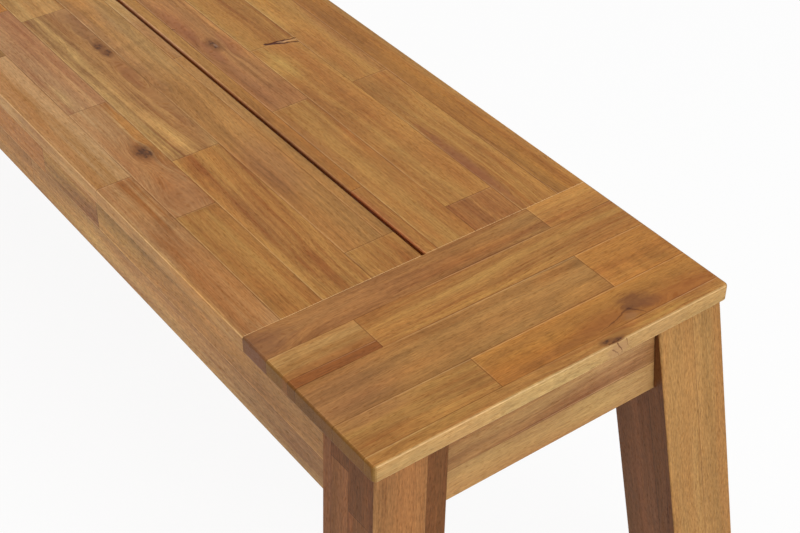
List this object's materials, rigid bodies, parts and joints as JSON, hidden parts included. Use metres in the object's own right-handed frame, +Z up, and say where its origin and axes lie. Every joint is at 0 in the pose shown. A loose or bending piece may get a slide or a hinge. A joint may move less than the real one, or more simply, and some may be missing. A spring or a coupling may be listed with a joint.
{
  "type": "backless bench",
  "caption": "Backless wooden garden bench: glued-up seat boards between cross boards, deep aprons and legs splayed both ways.",
  "frame": {"origin": "on the floor under the middle of the seat", "axes": "+X along the seat towards the pictured end, +Y to the right of someone who looks at that end from outside, in the picture's sense, +Z up"},
  "size_m": [1.6888, 0.4388, 0.45],
  "materials": {
    "oiled_hardwood": "oiled satin",
    "plain_hardwood": "planed, thinly oiled",
    "dowel_wood": "dry turned",
    "zinc_steel": "bright zinc plated",
    "glide_plastic": "matt moulded"
  },
  "bodies": {
    "root": {"seat_board_left": "oiled_hardwood", "seat_board_right": "oiled_hardwood", "end_board_near": "oiled_hardwood", "end_board_far": "oiled_hardwood", "side_apron_left": "oiled_hardwood", "side_apron_right": "oiled_hardwood", "end_apron_near": "oiled_hardwood", "end_apron_far": "oiled_hardwood", "leg_near_left": "oiled_hardwood", "leg_near_right": "oiled_hardwood", "leg_far_left": "oiled_hardwood", "leg_far_right": "oiled_hardwood", "joint_rail_near": "plain_hardwood", "cross_rail_near": "plain_hardwood", "cross_rail_far": "plain_hardwood", "joint_rail_far": "plain_hardwood", "end_cleat_near": "plain_hardwood", "end_cleat_far": "plain_hardwood", "corner_brace_near_left": "plain_hardwood", "corner_brace_near_right": "plain_hardwood", "corner_brace_far_left": "plain_hardwood", "corner_brace_far_right": "plain_hardwood", "seat_dowels": "dowel_wood", "apron_dowels": "dowel_wood", "rail_dowels": "dowel_wood", "seat_screws": "zinc_steel", "cleat_screws": "zinc_steel", "brace_screws": "zinc_steel", "leg_bolts": "zinc_steel", "leg_washers": "zinc_steel", "leg_nuts": "zinc_steel", "foot_glide_near_left": "glide_plastic", "foot_glide_near_right": "glide_plastic", "foot_glide_far_left": "glide_plastic", "foot_glide_far_right": "glide_plastic"}
  },
  "joints": []
}
